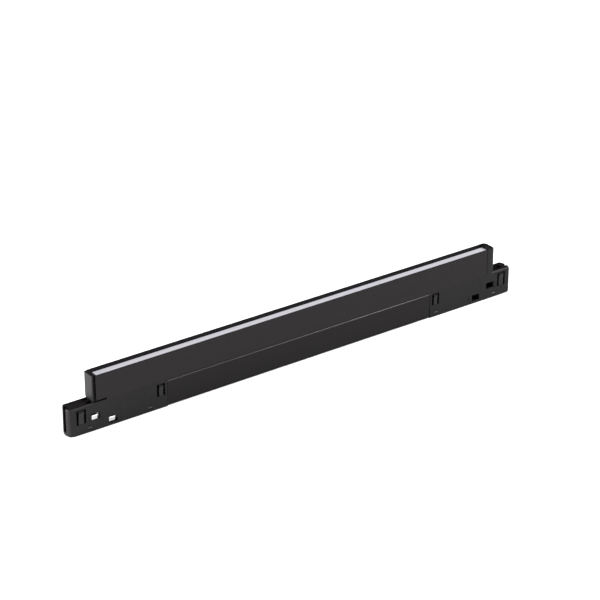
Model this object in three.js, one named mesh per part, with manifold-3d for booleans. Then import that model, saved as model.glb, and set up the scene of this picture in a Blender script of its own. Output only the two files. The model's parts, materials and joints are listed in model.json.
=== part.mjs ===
// Clip-in linear LED track module: a slim light bar on a base that snaps into a lighting track.
// Millimetres. +X runs along the module, -Y is the side with the supply contacts, +Z is the lit side.
// The origin is the centre of the underside. The module stands on the two track adapters.
import * as THREE from 'three';
import { mergeVertices } from 'three/addons/utils/BufferGeometryUtils.js';
import Module from 'manifold-3d';

const wasm = await Module();
wasm.setup();

// ---------------------------------------------------------------- driving dimensions

const baseLength = 332.6;
const barLength = 300.8;
const barShift = 0.78;            // the light bar sits this far towards +X on the base
const totalHeight = 35.4;
const baseHalf = 4.85;            // half thickness of the base
const barHalf = 4.95;             // half thickness of the light bar
const adapterLength = 67.3;
const adapterTop = 18.1;
const barUnderside = 19.3;
const runningGap = 0.3;           // clearance beside pieces that move or are fitted by hand
const fitGap = 0.15;              // clearance between fixed pieces
const snugGap = 0.03;             // clearance where a cover or the light bar closes a joint

const leftEnd = -baseLength / 2;
const barLeft = barShift - barLength / 2;
const barRight = barShift + barLength / 2;

// Track adapter moulding. Places along it are distances from its free end.
const adapterWall = 1.3;
const adapterEndWall = 3.2;
const adapterRoof = 1.4;
const crownDepth = 2.6;           // the free end is half an ellipse this deep
const adapterTopChamfer = 0.5;
const endGroove = { half: 1.5, depth: 1.8, low: 2.2 };    // upright groove in the free end
const adapterInside = baseHalf - adapterWall;
const roofLow = adapterTop - adapterRoof;
const coverThickness = 1.2;
const spigotLength = 6;
const spigotHalf = 3.55;
const spigotLow = 2.05;
const spigotHigh = 15.6;
const spigotWall = 0.9;

// Spring latches: one near each end of an adapter, on both faces
const latches = {
  outer: { place: 8.5, width: 3.6, slot: 1.4, root: 6.8 },
  inner: { place: 62.9, width: 2.9, slot: 1.4, root: 8.2 },
};
const latchThickness = 1.2;
const latchTip = 15.6;
const latchWindowTop = 16.2;
const latchProud = 0.45;
const guardHalf = 2.2;            // guard walls keep the wires away from the moving fingers
const guardWall = 0.6;
const guardMargin = 2.2;

// Supply contacts, at the left end only. The mouldings have the same windows at both ends.
const contactWindow = { width: 6.0, height: 4.2 };
const contactPad = { width: 4.2, height: 2.9, proud: 0.45, edge: 0.5 };
const contactOffset = 0.8;        // a contact sits this far towards the free end in its window
const contacts = {
  upper: { place: 18.0, windowHeight: 9.4, height: 8.9 },
  lower: { place: 29.6, windowHeight: 3.9, height: 4.2 },
};
const contactArmLength = 9;
const contactArmWidth = 2.6;
const contactStrip = 0.3;
const contactLegOffset = 3.3;      // from the start of a terminal's plate to its leg
const contactArmFace = adapterInside - 0.2;    // outer face of the leaf, behind the wall
const contactArmBack = contactArmFace - contactStrip;

// Snap teeth that hold the adapter covers, on the contact side and on the other side
const snaps = [
  { side: -1, place: 14.3 }, { side: -1, place: 55.3 },
  { side: 1, place: 14.3 }, { side: 1, place: 61.8 },
];
const snapWindow = { width: 3.2, low: 1.9, high: 3.9 };
const snapReach = 1.3;            // from the edge of the cover to the outer face of a tooth

// Thin ribs moulded on the sides of an adapter, beside its contact windows
const sideRibs = [{ place: 14.0, low: 6.6 }, { place: 35.2, low: 1.8 }];
const ribLength = 5.2;
const ribProud = 0.15;

// Openings in the roofs: two release pockets beside the light bar on the left, one wide recess on the right
const pocket = { start: 13.4, end: 17.2, inner: 0.95, outer: 3.4 };
const recess = { start: 5.9, end: 12.4, half: 2.2 };

// A tongue on each adapter that fits between the walls of the light bar
const tongueStart = 17.6;
const tongueHalf = 3.9;

// Screws that hold the adapters to the light bar
const screwPlaces = [26.8, 50.8];
const screwShank = 1.25;
const screwBoss = 2.8;
const screwHead = { radius: 2.2, height: 1.4 };
const screwTip = 23;

// Light bar extrusion
const barWall = 0.9;
const rimWall = 0.8;
const shelfLow = 24.5;
const shelfHigh = 25.6;
const webHigh = 20.5;
const screwSlotHalf = 1.45;
const screwRibHalf = 2.3;
const screwRibTop = 23.2;
const leftCapLength = 2.2;
const rightCapLength = 6;
const capCorner = 1.2;             // radius of a cap's upright edges
const leftGap = { width: 1.4, depth: 0.7, top: 0 };       // groove between the left cap's flange and the
const rightGap = { width: 0.35, depth: 0.4, top: 0.4 };    // extrusion, and the narrow one on the right
const capWall = 1.2;               // end wall of a cap below the web
const capPeg = { inner: 2.5, outer: 3.85, length: 7 };
const capLip = 1.2;                // the left cap reaches this far over the diffuser
const rightCapWall = 2.8;          // wall of the right cap beyond the diffuser's end
const profileLeft = barLeft + leftCapLength;
const profileRight = barRight - rightCapLength;
const skirtLow = 17.25;            // bar walls over the driver channel
const seamLow = adapterTop + snugGap;    // bar walls over the adapters
const leftRelief = 7;              // length at the left end where the walls stop at the web

// Diffuser and LED board
const diffuserTop = 33.1;
const diffuserLip = 30.75;         // middle of the snap lip on the diffuser's sides
const diffuserHalf = 4.0;
const diffuserSkin = 1.1;
const ledgeTop = 29.1;
const tapeThickness = 0.2;
const boardThickness = 1.0;
const ledCount = 36;
const ledSize = { length: 3.5, width: 2.8, height: 0.7 };

// Driver channel between the adapters
const channelTop = 17.1;
const channelLow = 0.5;
const channelWall = 1.0;
const channelTopHalf = 4.8;
const channelLowHalf = 4.6;
const channelHalfLength = baseLength / 2 - adapterLength - runningGap;
const linerThickness = 0.25;
const linerHalfLength = 91;
const driverBoardLow = 3.2;
const driverBoardHigh = 4.2;
const driverBoardHalfLength = 88;
const driverBoardHalf = 3.0;

// Wires
const wireRadius = 0.6;

// ---------------------------------------------------------------- materials

function finish(color, roughness, metalness) {
  return new THREE.MeshStandardMaterial({ color, roughness, metalness });
}

const materials = {
  barAluminium: finish(0x1c1b1d, 0.42, 0.7),
  channelAluminium: finish(0x191819, 0.45, 0.7),
  blackPlastic: finish(0x161617, 0.5, 0),
  opal: finish(0xe6e6ee, 0.55, 0),
  boardWhite: finish(0xe8e8e4, 0.5, 0),
  boardGreen: finish(0x1f4a30, 0.5, 0),
  tape: finish(0xd9d9d2, 0.8, 0),
  film: finish(0xcfd0cc, 0.6, 0),
  silver: finish(0xd6d6d8, 0.25, 1),
  steel: finish(0x8c8d90, 0.35, 1),
  component: finish(0x1b1b1c, 0.45, 0),
  capacitor: finish(0x2a3f66, 0.4, 0),
  ferrite: finish(0x35322f, 0.7, 0),
  redWire: finish(0x9c1c1a, 0.5, 0),
  blackWire: finish(0x18181a, 0.5, 0),
};

// ---------------------------------------------------------------- solids

function toSolid(geometry) {
  const bare = geometry.clone();
  bare.deleteAttribute('normal');
  bare.deleteAttribute('uv');
  const merged = mergeVertices(bare, 1e-5);
  return new wasm.Manifold(new wasm.Mesh({
    numProp: 3,
    vertProperties: new Float32Array(merged.attributes.position.array),
    triVerts: new Uint32Array(merged.index.array),
  }));
}

function toGeometry(solid) {
  const mesh = solid.getMesh();
  const geometry = new THREE.BufferGeometry();
  geometry.setAttribute('position', new THREE.BufferAttribute(mesh.vertProperties, 3));
  geometry.setIndex(new THREE.BufferAttribute(mesh.triVerts, 1));
  geometry.computeVertexNormals();
  return geometry;
}

function block(x0, x1, y0, y1, z0, z1) {
  const box = new THREE.BoxGeometry(x1 - x0, y1 - y0, z1 - z0);
  return toSolid(box.translate((x0 + x1) / 2, (y0 + y1) / 2, (z0 + z1) / 2));
}

function outlineShape(points) {
  return new THREE.Shape(points.map(([a, b]) => new THREE.Vector2(a, b)));
}

// A (y, z) outline drawn out along X from x0 to x1
function prismX(points, x0, x1) {
  const extruded = new THREE.ExtrudeGeometry(outlineShape(points), { depth: x1 - x0, bevelEnabled: false });
  const turn = new THREE.Matrix4().set(0, 0, 1, x0, 1, 0, 0, 0, 0, 1, 0, 0, 0, 0, 0, 1);
  return toSolid(extruded.applyMatrix4(turn));
}

// A shape in the XY plane drawn up from z0 to z1
function prismZ(shape, z0, z1, curveSegments = 8) {
  const extruded = new THREE.ExtrudeGeometry(shape, { depth: z1 - z0, bevelEnabled: false, curveSegments });
  return toSolid(extruded.translate(0, 0, z0));
}

function rodZ(x, y, radius, z0, z1, sides = 24) {
  const rod = new THREE.CylinderGeometry(radius, radius, z1 - z0, sides);
  return toSolid(rod.rotateX(Math.PI / 2).translate(x, y, (z0 + z1) / 2));
}

function rodX(y, z, radius, x0, x1, sides = 24) {
  const rod = new THREE.CylinderGeometry(radius, radius, x1 - x0, sides);
  return toSolid(rod.rotateZ(Math.PI / 2).translate((x0 + x1) / 2, y, z));
}

function join(solids) {
  return solids.reduce((whole, piece) => whole.add(piece));
}

function cut(solid, tools) {
  return tools.reduce((rest, tool) => rest.subtract(tool), solid);
}

const module = new THREE.Group();
const leftHand = new THREE.Group();
const rightHand = new THREE.Group();
rightHand.rotation.z = Math.PI;      // the right adapter is the left one turned round
module.add(leftHand, rightHand);

function place(name, solid, material, group = module) {
  const mesh = new THREE.Mesh(toGeometry(solid), material);
  mesh.name = name;
  group.add(mesh);
}

// ---------------------------------------------------------------- track adapters

// Distance from the free end to X, on the left adapter
function along(distance) {
  return leftEnd + distance;
}

// The roof's side edges are chamfered where the light bar leaves them bare
function adapterOutside() {
  const shape = new THREE.Shape();
  const inner = along(adapterLength);
  shape.moveTo(inner, -baseHalf);
  shape.lineTo(inner, baseHalf);
  shape.absellipse(along(crownDepth), 0, crownDepth, baseHalf, Math.PI / 2, Math.PI * 1.5, false);
  shape.closePath();
  const c = adapterTopChamfer;
  const section = [
    [-baseHalf, -1], [baseHalf, -1], [baseHalf, adapterTop - c],
    [baseHalf - c, adapterTop], [c - baseHalf, adapterTop], [-baseHalf, adapterTop - c],
  ];
  const underBar = block(along(tongueStart), inner + 1, -baseHalf, baseHalf, -1, adapterTop);
  return prismZ(shape, 0, adapterTop, 24).intersect(prismX(section, leftEnd - 1, inner + 1).add(underBar));
}

// The slots and the hole round one latch finger, cut through both side walls
function latchWindows({ place: distance, width, slot, root }) {
  const half = width / 2 + slot;
  return block(along(distance - half), along(distance + half), -6, 6, root, latchWindowTop);
}

// Two walls that hang from the roof behind the fingers of one latch place
function latchGuards({ place: distance, width, slot, root }) {
  const half = width / 2 + slot + guardMargin;
  const end = Math.min(distance + half, adapterLength - adapterWall);
  return [-1, 1].map((side) => {
    const [a, b] = side < 0 ? [-guardHalf, guardWall - guardHalf] : [guardHalf - guardWall, guardHalf];
    return block(
      along(distance - half), along(end), a, b, root - guardMargin, roofLow + 0.1);
  });
}

function contactHole({ place: distance, windowHeight }) {
  const { width, height } = contactWindow;
  return block(
    along(distance - width / 2), along(distance + width / 2), -6, 6,
    windowHeight - height / 2, windowHeight + height / 2);
}

function roofOpenings(hand) {
  if (hand === 'right') {
    return [block(
      along(recess.start), along(recess.end), -recess.half, recess.half, roofLow - 0.1, adapterTop + 1)];
  }
  return [-1, 1].map((side) => {
    const [a, b] = side < 0 ? [-pocket.outer, -pocket.inner] : [pocket.inner, pocket.outer];
    return block(along(pocket.start), along(pocket.end), a, b, roofLow - 1, adapterTop + 1);
  });
}

function adapterHousing(hand) {
  const inner = along(adapterLength);
  const spigot = block(inner - 1, inner + spigotLength, -spigotHalf, spigotHalf, spigotLow, spigotHigh);
  const bosses = screwPlaces.map((d) => rodZ(along(d), 0, screwBoss, adapterTop - 0.5, barUnderside));
  const tongue = block(
    along(tongueStart), inner - adapterWall, -tongueHalf, tongueHalf, adapterTop - 0.5, barUnderside - fitGap);
  const ribs = sideRibs.map(({ place: d, low }) => block(
    along(d - 0.25), along(d + 0.25), -baseHalf - ribProud, baseHalf + ribProud, low, low + ribLength));

  const cavity = block(
    along(adapterEndWall), inner - adapterWall, -adapterInside, adapterInside, -1, roofLow);
  const wireWay = block(
    inner - adapterWall - 0.1, inner + spigotLength + 1,
    spigotWall - spigotHalf, spigotHalf - spigotWall, spigotLow + spigotWall, spigotHigh - spigotWall);
  const snapHoles = snaps.map(({ side, place: d }) => {
    const [a, b] = side < 0 ? [-6, -3] : [3, 6];
    return block(
      along(d - snapWindow.width / 2), along(d + snapWindow.width / 2), a, b, snapWindow.low, snapWindow.high);
  });
  const screwHoles = screwPlaces.map((d) => rodZ(
    along(d), 0, screwShank + fitGap, roofLow - 1, barUnderside + 1));
  const latchHoles = Object.values(latches).map(latchWindows);
  const contactHoles = Object.values(contacts).map(contactHole);
  const guards = Object.values(latches).flatMap(latchGuards);
  const groove = block(
    leftEnd - 1, along(endGroove.depth), -endGroove.half, endGroove.half, endGroove.low, adapterTop + 1);
  const shell = cut(join([adapterOutside(), spigot, tongue, ...bosses, ...ribs]), [cavity, groove, ...latchHoles]);
  return cut(join([shell, ...guards]), [
    wireWay, ...roofOpenings(hand), ...snapHoles, ...screwHoles, ...contactHoles]);
}

// A plate that closes the adapter from below, with its snap teeth
function adapterCover() {
  const half = adapterInside - snugGap;
  const plate = block(
    along(adapterEndWall + snugGap), along(adapterLength - adapterWall - snugGap), -half, half, 0, coverThickness);
  const teeth = snaps.map(({ side, place: d }) => {
    const outline = [
      [half - 0.9, coverThickness - 0.4], [half, coverThickness - 0.4], [half, snapWindow.low + fitGap],
      [half + snapReach, snapWindow.low + 3 * fitGap], [half + snapReach, snapWindow.low + 7 * fitGap],
      [half + 0.2, snapWindow.high - fitGap], [half - 0.9, snapWindow.high - fitGap],
    ].map(([y, z]) => [side * y, z]);
    return prismX(outline, along(d - snapWindow.width / 2 + fitGap), along(d + snapWindow.width / 2 - fitGap));
  });
  return join([plate, ...teeth]);
}

// One spring finger, standing in its window, with a rounded nose near the tip
function latchFinger({ place: distance, width, root }, side) {
  const face = baseHalf;
  const back = baseHalf - latchThickness;
  const noseHeight = latchTip - 1.4;
  const nose = [];
  const noseSteps = 6;
  for (let i = 0; i <= noseSteps; i += 1) {
    const t = (i / noseSteps) * Math.PI;
    nose.push([face + latchProud * Math.sin(t), noseHeight - 1.2 * Math.cos(t)]);
  }
  const outline = [
    [back, root + fitGap], [face, root + fitGap], ...nose, [face - 0.2, latchTip], [back, latchTip],
  ].map(([y, z]) => [side * y, z]);
  return prismX(outline, along(distance - width / 2), along(distance + width / 2));
}

function fixingScrew(distance) {
  const x = along(distance);
  const head = rodZ(x, 0, screwHead.radius, roofLow - screwHead.height, roofLow);
  const shank = rodZ(x, 0, screwShank, roofLow - 0.5, screwTip - 1);
  const point = toSolid(new THREE.CylinderGeometry(screwShank * 0.5, screwShank, 1, 24)
    .rotateX(Math.PI / 2).translate(x, 0, screwTip - 0.5));
  const low = roofLow - screwHead.height - 1;
  const cross = [
    block(x - 1.3, x + 1.3, -0.3, 0.3, low, low + 1.8),
    block(x - 0.3, x + 0.3, -1.3, 1.3, low, low + 1.8),
  ];
  return cut(join([head, shank, point]), cross);
}

// Everything that both ends have. A piece at -Y on the left adapter is at +Y on the right one.
for (const [hand, group] of [['left', leftHand], ['right', rightHand]]) {
  place(`adapter_housing_${hand}`, adapterHousing(hand), materials.blackPlastic, group);
  place(`adapter_cover_${hand}`, adapterCover(), materials.blackPlastic, group);
  for (const [position, latch] of Object.entries(latches)) {
    for (const side of [-1, 1]) {
      const isFront = (side < 0) === (hand === 'left');
      const name = `latch_${hand}_${position}_${isFront ? 'front' : 'back'}`;
      place(name, latchFinger(latch, side), materials.blackPlastic, group);
    }
  }
  screwPlaces.forEach((distance, i) => {
    const name = `adapter_screw_${hand}_${i ? 'inner' : 'outer'}`;
    place(name, fixingScrew(distance), materials.steel, group);
  });
}

// ---------------------------------------------------------------- supply contacts

// A sprung strip with a nose that stands through its window
function contactLeaf({ place: distance, height }) {
  const x = along(distance - contactOffset);
  const { width, height: tall, proud, edge } = contactPad;
  const outer = -baseHalf - proud;
  const section = [
    [-contactArmBack, -tall / 2], [-contactArmBack, tall / 2], [outer + edge, tall / 2],
    [outer, tall / 2 - edge], [outer, edge - tall / 2], [outer + edge, -tall / 2],
  ].map(([y, z]) => [y, z + height]);
  const pad = prismX(section, x - width / 2, x + width / 2);
  const plan = new THREE.Shape([
    [x - width / 2, -contactArmBack], [x - width / 2, outer + edge], [x - width / 2 + edge, outer],
    [x + width / 2 - edge, outer], [x + width / 2, outer + edge], [x + width / 2, -contactArmBack],
  ].map(([a, b]) => new THREE.Vector2(a, b)));
  const nose = pad.intersect(prismZ(plan, height - tall, height + tall));
  const arm = block(
    x, along(distance) + contactArmLength, -contactArmFace, -contactArmBack,
    height - contactArmWidth / 2, height + contactArmWidth / 2);
  return nose.add(arm);
}

// The fixed end of a contact: a plate on the wall, a leg inwards and a tag for the wire
function contactTerminal({ place: distance, height }, tagLength) {
  const root = along(distance + contactArmLength + runningGap);
  const legStart = root + contactLegOffset;
  const z0 = height - 0.9;
  const z1 = height + 0.9;
  const plate = block(root, legStart + contactStrip, -contactArmFace, -contactArmBack, z0, z1);
  const leg = block(legStart, legStart + contactStrip, -contactArmFace, 0.4, z0, z1);
  const tag = block(legStart, legStart + tagLength, 0.4 - contactStrip, 0.4, z0, z1);
  return join([plate, leg, tag]);
}

const carrier = { start: 22.8, end: 45.3, front: -2, low: 1.5, high: 13 };
const wireStart = {
  upper: contacts.upper.place + contactArmLength + runningGap + contactLegOffset + 3.2,
  lower: contacts.lower.place + contactArmLength + runningGap + contactLegOffset + 1.8,
};

function contactCarrier() {
  const back = adapterInside - fitGap;
  const body = block(along(carrier.start), along(carrier.end), carrier.front, back, carrier.low, carrier.high);
  const posts = Object.values(contacts).map(({ place: distance, height }) => block(
    along(distance + contactArmLength + 0.1), along(distance + contactArmLength + 4.4),
    fitGap - contactArmBack, carrier.front + 0.1, height - 1.3, height + 1.3));
  const channels = Object.values(contacts).flatMap(({ place: distance, height }) => {
    const leg = along(distance + contactArmLength + runningGap + contactLegOffset);
    return [
      block(leg - fitGap, leg + contactStrip + fitGap, -4, 0.5, height - 1.05, height + 1.05),
      block(leg - fitGap, along(carrier.end + 1), -0.6, 1.1, height - 1.05, height + 1.05),
    ];
  });
  return cut(join([body, ...posts]), channels);
}

place('contact_carrier', contactCarrier(), materials.blackPlastic);
place('contact_upper', contactLeaf(contacts.upper), materials.silver);
place('contact_lower', contactLeaf(contacts.lower), materials.silver);
place('contact_terminal_upper', contactTerminal(contacts.upper, 2.9), materials.silver);
place('contact_terminal_lower', contactTerminal(contacts.lower, 1.5), materials.silver);

// ---------------------------------------------------------------- light bar

function barSection() {
  const half = [
    [0, shelfHigh], [barHalf - rimWall, shelfHigh],
    [barHalf - rimWall, ledgeTop - 0.7], [barHalf - rimWall - 0.6, ledgeTop - 0.7],
    [barHalf - rimWall - 0.6, ledgeTop], [barHalf - rimWall, ledgeTop],
    [barHalf - rimWall, diffuserLip - 0.4], [barHalf - rimWall + 0.25, diffuserLip - 0.4],
    [barHalf - rimWall + 0.25, diffuserLip + 0.4], [barHalf - rimWall, diffuserLip + 0.4],
    [barHalf - rimWall, totalHeight], [barHalf, totalHeight],
    [barHalf, skirtLow], [barHalf - barWall, skirtLow],
    [barHalf - barWall, barUnderside], [screwSlotHalf, barUnderside],
    [screwSlotHalf, screwRibTop], [screwRibHalf, screwRibTop],
    [screwRibHalf, webHigh], [barHalf - barWall, webHigh],
    [barHalf - barWall, shelfLow], [0, shelfLow],
  ];
  const mirrored = half.slice(1, -1).map(([y, z]) => [-y, z]).reverse();
  return [...half, ...mirrored];
}

const ledWirePlaces = [88.4, 91.4];
const ledWireHole = 1.1;

// The side walls reach lowest over the driver channel, higher over the adapters, and at the left end
// they stop at the web
function lightBarProfile() {
  const bar = prismX(barSection(), profileLeft, profileRight);
  const steps = [
    block(profileLeft - 1, -channelHalfLength, -6, 6, skirtLow - 1, seamLow),
    block(channelHalfLength, profileRight + 1, -6, 6, skirtLow - 1, seamLow),
    block(profileLeft - 1, profileLeft + leftRelief, -6, 6, skirtLow - 1, barUnderside),
  ];
  const holes = ledWirePlaces.map((x) => rodZ(x, 0, ledWireHole, shelfLow - 1, shelfHigh + 1, 16));
  return cut(bar, [...steps, ...holes]);
}

// A block between two places along the bar, given in either order
function spanX(a, b, y0, y1, z0, z1) {
  return block(Math.min(a, b), Math.max(a, b), y0, y1, z0, z1);
}

// An end cap: rounded at its outer upright edges, hollow below the web like the extrusion, with a groove
// where it meets the extrusion and two pegs that plug into it
function endCap(outer, inner, inwards, underside, groove) {
  const r = capCorner;
  const plan = new THREE.Shape();
  plan.moveTo(inner, -barHalf);
  plan.lineTo(inner, barHalf);
  plan.absarc(outer + r * inwards, barHalf - r, r, Math.PI / 2, inwards > 0 ? Math.PI : 0, inwards < 0);
  plan.absarc(
    outer + r * inwards, r - barHalf, r, inwards > 0 ? Math.PI : 0, inwards > 0 ? Math.PI * 1.5 : -Math.PI / 2,
    inwards < 0);
  plan.closePath();
  const wallEnd = outer + capWall * inwards;
  const gapStart = inner - groove.width * inwards;
  const neck = barHalf - groove.depth;
  const core = spanX(gapStart - inwards, inner + 2 * inwards, -neck, neck, underside - 2, totalHeight - groove.top);
  const gap = spanX(gapStart, inner + inwards, -6, 6, underside - 1, totalHeight + 1).subtract(core);
  const hollow = spanX(inner + inwards, wallEnd, barWall - barHalf, barHalf - barWall, underside - 1, barUnderside);
  const body = cut(prismZ(plan, underside, totalHeight), [gap, hollow]);
  const pegs = [-1, 1].map((side) => {
    const [a, b] = side < 0 ? [-capPeg.outer, -capPeg.inner] : [capPeg.inner, capPeg.outer];
    return spanX(
      inner - 0.5 * inwards, inner + capPeg.length * inwards, a, b, webHigh + 0.2, shelfLow - 0.2);
  });
  return join([body, ...pegs]);
}

// The left cap has a lip over the end of the diffuser
function leftEndCap() {
  const half = barHalf - rimWall - fitGap;
  const lip = block(
    barLeft + capCorner, profileLeft + capLip, -half, half, diffuserTop + fitGap, totalHeight - 2 * fitGap);
  return endCap(barLeft, profileLeft, 1, barUnderside, leftGap).add(lip);
}

// The right cap takes the end of the diffuser in a notch
function rightEndCap() {
  const half = diffuserHalf + 0.3;
  const notch = block(
    profileRight - 1, barRight - rightCapWall, -half, half, ledgeTop - fitGap, totalHeight + 1);
  return endCap(barRight, profileRight, -1, seamLow, rightGap).subtract(notch);
}

function diffuser() {
  const half = [
    [0, diffuserTop - diffuserSkin], [diffuserHalf - diffuserSkin, diffuserTop - diffuserSkin],
    [diffuserHalf - diffuserSkin, ledgeTop], [diffuserHalf, ledgeTop],
    [diffuserHalf, diffuserLip - 0.25], [diffuserHalf + 0.2, diffuserLip - 0.1], [diffuserHalf, diffuserLip + 0.25],
    [diffuserHalf, diffuserTop], [0, diffuserTop],
  ];
  const mirrored = half.slice(1, -1).map(([y, z]) => [-y, z]).reverse();
  return prismX([...half, ...mirrored], profileLeft + fitGap, barRight - rightCapWall - fitGap);
}

function ledBoard() {
  const low = shelfHigh + tapeThickness;
  const high = low + boardThickness;
  const x0 = profileLeft + 1;
  const x1 = profileRight - 1;
  const board = block(x0, x1, -3.5, 3.5, low, high);
  const pitch = (x1 - x0) / ledCount;
  const leds = Array.from({ length: ledCount }, (_, i) => {
    const x = x0 + (i + 0.5) * pitch;
    return block(
      x - ledSize.length / 2, x + ledSize.length / 2, -ledSize.width / 2, ledSize.width / 2,
      high - 0.2, high + ledSize.height);
  });
  return join([board, ...leds]);
}

function thermalTape() {
  const strip = block(profileLeft + 1, profileRight - 1, -3.4, 3.4, shelfHigh, shelfHigh + tapeThickness);
  const holes = ledWirePlaces.map((x) => rodZ(x, 0, ledWireHole, shelfHigh - 1, shelfHigh + 1, 16));
  return cut(strip, holes);
}

place('light_bar_profile', lightBarProfile(), materials.barAluminium);
place('bar_end_cap_left', leftEndCap(), materials.blackPlastic);
place('bar_end_cap_right', rightEndCap(), materials.blackPlastic);
place('diffuser', diffuser(), materials.opal);
place('led_board', ledBoard(), materials.boardWhite);
place('thermal_tape', thermalTape(), materials.tape);

// ---------------------------------------------------------------- driver channel and electronics

function driverChannel() {
  const c = 0.6;
  const section = [
    [-channelLowHalf, channelLow], [channelLowHalf, channelLow],
    [channelTopHalf, channelTop - c], [channelTopHalf - c, channelTop],
    [channelTopHalf - channelWall, channelTop], [channelTopHalf - channelWall, channelLow + channelWall],
    [channelWall - channelTopHalf, channelLow + channelWall], [channelWall - channelTopHalf, channelTop],
    [c - channelTopHalf, channelTop], [-channelTopHalf, channelTop - c],
  ];
  return prismX(section, -channelHalfLength, channelHalfLength);
}

// A folded plastic film between the channel and the driver board
function insulatingLiner() {
  const outer = channelTopHalf - channelWall - 0.1;
  const inner = outer - linerThickness;
  const low = channelLow + channelWall + 0.1;
  const section = [
    [-outer, low], [outer, low], [outer, 14.5], [inner, 14.5],
    [inner, low + linerThickness], [-inner, low + linerThickness], [-inner, 14.5], [-outer, 14.5],
  ];
  return prismX(section, -linerHalfLength, linerHalfLength);
}

function boardSpacer(x) {
  const low = channelLow + channelWall + 0.1 + linerThickness;
  return block(x - 3, x + 3, -2.8, 2.8, low, driverBoardLow);
}

// A two-way terminal with a mouth for each wire on its outer side
function wireTerminal(outwards) {
  const face = outwards * 84;
  const [x0, x1] = [face, face - outwards * 7].sort((a, b) => a - b);
  const body = block(x0, x1, -2.9, 2.9, driverBoardHigh, driverBoardHigh + 5.4);
  const mouths = [-1.45, 1.45].map((y) => {
    const [m0, m1] = [face + outwards, face - outwards * 3].sort((a, b) => a - b);
    return rodX(y, driverBoardHigh + 2.6, wireRadius + 0.3, m0, m1, 16);
  });
  return cut(body, mouths);
}

// An electrolytic capacitor lying on the board, with the groove rolled into its can
function cappedCylinder(x0, x1, radius) {
  const axisHeight = driverBoardHigh + radius;
  return join([
    rodX(0, axisHeight, radius, x0, x0 + 1.2),
    rodX(0, axisHeight, radius - 0.3, x0 + 1, x0 + 2),
    rodX(0, axisHeight, radius, x0 + 1.8, x1),
  ]);
}

// A drum inductor: two flanges with the winding between them
function drumChoke(x) {
  const z = driverBoardHigh;
  return join([rodZ(x, 0, 2.95, z, z + 1.4), rodZ(x, 0, 2.5, z + 1, z + 7), rodZ(x, 0, 2.95, z + 6.6, z + 8)]);
}

function chipPackage(x, length, width, height) {
  const z = driverBoardHigh;
  const body = block(x - length / 2, x + length / 2, -width / 2, width / 2, z + 0.15, z + height);
  const legs = [-1, 1].flatMap((side) => [-1, 1].map((end) => {
    const [a, b] = side < 0 ? [-width / 2 - 0.7, 0.3 - width / 2] : [width / 2 - 0.3, width / 2 + 0.7];
    const cx = x + end * length * 0.3;
    return block(cx - 0.35, cx + 0.35, a, b, z, z + 0.45);
  }));
  return join([body, ...legs]);
}

place('driver_channel', driverChannel(), materials.channelAluminium);
place('insulating_liner', insulatingLiner(), materials.film);
place('board_spacer_left', boardSpacer(-60), materials.blackPlastic);
place('board_spacer_right', boardSpacer(60), materials.blackPlastic);
place('driver_board', block(
  -driverBoardHalfLength, driverBoardHalfLength, -driverBoardHalf, driverBoardHalf,
  driverBoardLow, driverBoardHigh), materials.boardGreen);
place('input_terminal', wireTerminal(-1), materials.boardWhite);
place('bridge_rectifier', chipPackage(-67, 5.6, 3.8, 2.4), materials.component);
place('input_capacitor', cappedCylinder(-58, -46, 2.9), materials.capacitor);
place('filter_choke', drumChoke(-36), materials.ferrite);
place('driver_chip', chipPackage(-16, 5, 3.9, 1.6), materials.component);
place('switching_transistor', chipPackage(-3, 6.4, 3.8, 2.3), materials.component);
place('freewheel_diode', chipPackage(10, 4.5, 3.5, 2.2), materials.component);
place('output_choke', drumChoke(30), materials.ferrite);
place('output_capacitor', cappedCylinder(46, 58, 2.6), materials.capacitor);
place('output_terminal', wireTerminal(1), materials.boardWhite);

// ---------------------------------------------------------------- wires inside the housings

function wire(points, steps) {
  const path = new THREE.CatmullRomCurve3(points.map(([x, y, z]) => new THREE.Vector3(x, y, z)));
  const section = new THREE.Shape();
  const sides = 8;
  for (let i = 0; i < sides; i += 1) {
    const angle = (i / sides) * 2 * Math.PI;
    const x = wireRadius * Math.cos(angle);
    const y = wireRadius * Math.sin(angle);
    if (i) section.lineTo(x, y);
    else section.moveTo(x, y);
  }
  section.closePath();
  return toSolid(new THREE.ExtrudeGeometry(section, { steps, extrudePath: path }));
}

const terminalHeight = driverBoardHigh + 2.6;
const { upper, lower } = contacts;

place('supply_wire_upper', wire([
  [along(wireStart.upper), 0.25, upper.height], [along(39), 0.25, upper.height],
  [along(47), 0, 9.2], [along(56), -0.7, 9.6], [along(67), -0.75, 9.2],
  [along(75), -1.3, 8], [-86, -1.45, terminalHeight], [-82, -1.45, terminalHeight],
], 40), materials.redWire);
place('supply_wire_lower', wire([
  [along(wireStart.lower), 0.25, lower.height], [along(47.5), 0.4, 4.4],
  [along(55), 0.75, 5], [along(65), 0.8, 6.2],
  [along(75), 1.3, 6.8], [-86, 1.45, terminalHeight], [-82, 1.45, terminalHeight],
], 40), materials.blackWire);
ledWirePlaces.forEach((x, i) => {
  const side = i ? 1 : -1;
  place(i ? 'led_wire_minus' : 'led_wire_plus', wire([
    [82, side * 1.45, terminalHeight], [85.5, side * 1.45, terminalHeight],
    [x - 0.6, side * 1.2, terminalHeight + 2.2], [x, side * 0.5, 13], [x, 0, 18],
    [x, 0, 22.5], [x, 0, shelfHigh + 0.1],
  ], 36), i ? materials.blackWire : materials.redWire);
});

export default module;
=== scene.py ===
"""Clip-in linear LED track module: the visual model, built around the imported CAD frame.

Helpers work in millimetres in the frame's axes, and meshes are stored in metres. +X runs along the module,
-Y is the side with the supply contacts, +Z is the lit side.
"""
import json
import math

import bmesh
import bpy
from mathutils import Matrix, Vector

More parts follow.
